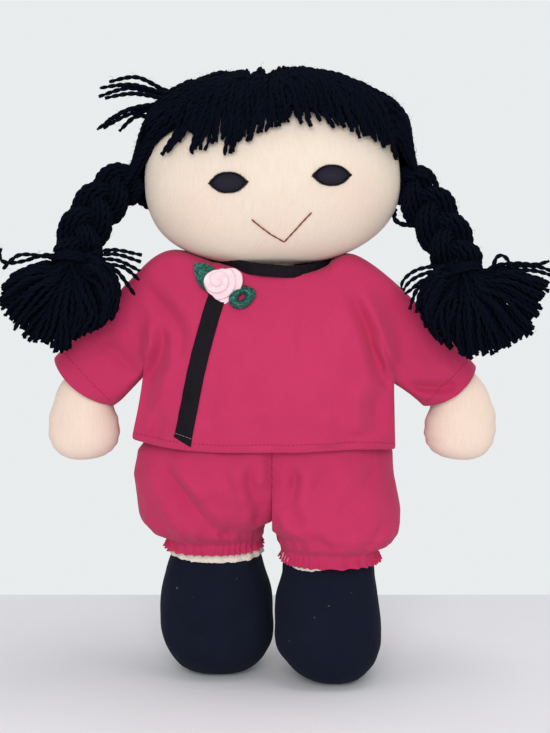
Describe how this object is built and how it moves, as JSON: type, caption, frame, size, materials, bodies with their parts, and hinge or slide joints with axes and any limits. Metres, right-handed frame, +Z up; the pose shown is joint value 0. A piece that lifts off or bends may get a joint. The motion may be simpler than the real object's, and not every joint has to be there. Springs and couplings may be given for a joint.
{
  "type": "rag doll",
  "caption": "Cloth rag doll with black yarn plaits, a crimson wrapped jacket and bloomers, dark cloth boots and a ribbon rose at the neck",
  "frame": {"origin": "centre of the doll's outline seen from above, on the floor under its boot soles", "axes": "+Z up, -Y the way the doll faces, +X the doll's own left"},
  "size_m": [0.2762, 0.0908, 0.3259],
  "materials": {
    "muslin": "unbleached cotton muslin, matt",
    "crimson_cotton": "plain woven crimson cotton, matt",
    "yarn": "black two-ply worsted yarn, soft",
    "boot_cloth": "blue-black brushed cotton, matt",
    "black_ribbon": "black ribbed ribbon, slight sheen",
    "pink_ribbon": "pale pink satin ribbon, silky",
    "green_ribbon": "green satin ribbon, silky",
    "eye_thread": "dark violet embroidery thread, silky",
    "edge_thread": "black embroidery thread",
    "mouth_thread": "reddish brown embroidery thread",
    "elastic": "pale covered elastic, matt"
  },
  "bodies": {
    "body": {"body": "muslin", "jacket": "crimson_cotton", "collar_ribbon": "black_ribbon", "placket_ribbon": "black_ribbon", "ribbon_rose": "pink_ribbon", "rose_leaf_upper": "green_ribbon", "rose_leaf_lower": "green_ribbon", "waist_elastic": "elastic"},
    "head": {"head": "muslin", "eye_right": "eye_thread", "eye_left": "eye_thread", "eye_edging_right": "edge_thread", "eye_edging_left": "edge_thread", "mouth_stitching": "mouth_thread", "hair_right": "yarn", "hair_left": "yarn", "parting_stitching": "edge_thread", "fringe": "yarn", "hair_tuft_right": "yarn"},
    "plait_right": {"plait_right": "yarn", "plait_tie_right": "yarn", "tassel_right": "yarn"},
    "arm_right": {"arm_right": "muslin", "sleeve_right": "crimson_cotton"},
    "leg_right": {"leg_right": "muslin", "boot_right": "boot_cloth", "bloomers_right": "crimson_cotton", "cuff_elastic_right": "elastic"},
    "plait_left": {"plait_left": "yarn", "plait_tie_left": "yarn", "tassel_left": "yarn"},
    "arm_left": {"arm_left": "muslin", "sleeve_left": "crimson_cotton"},
    "leg_left": {"leg_left": "muslin", "boot_left": "boot_cloth", "bloomers_left": "crimson_cotton", "cuff_elastic_left": "elastic"}
  },
  "joints": [
    {"name": "neck_tilt", "type": "hinge", "parent": "body", "child": "head", "pos_m": [0, 0.00137, 0.213], "axis": [0, 1, 0], "range_deg": [-3, 5]},
    {"name": "plait_swing_right", "type": "hinge", "parent": "head", "child": "plait_right", "pos_m": [-0.07945, -0.00363, 0.26373], "axis": [0, 1, 0], "range_deg": [0, 70]},
    {"name": "plait_swing_left", "type": "hinge", "parent": "head", "child": "plait_left", "pos_m": [0.07945, -0.00363, 0.26927], "axis": [0, -1, 0], "range_deg": [0, 70]},
    {"name": "shoulder_right", "type": "hinge", "parent": "body", "child": "arm_right", "pos_m": [-0.054, 0.00137, 0.201], "axis": [0, 1, 0], "range_deg": [0, 45], "deforming": ["sleeve_right"]},
    {"name": "shoulder_left", "type": "hinge", "parent": "body", "child": "arm_left", "pos_m": [0.054, 0.00137, 0.201], "axis": [0, -1, 0], "range_deg": [0, 45], "deforming": ["sleeve_left"]},
    {"name": "hip_right", "type": "hinge", "parent": "body", "child": "leg_right", "pos_m": [-0.0306, 0.00137, 0.104], "axis": [-1, 0, 0], "range_deg": [-20, 65], "deforming": ["bloomers_right"]},
    {"name": "hip_left", "type": "hinge", "parent": "body", "child": "leg_left", "pos_m": [0.0306, 0.00137, 0.104], "axis": [-1, 0, 0], "range_deg": [-20, 65], "deforming": ["bloomers_left"]}
  ]
}
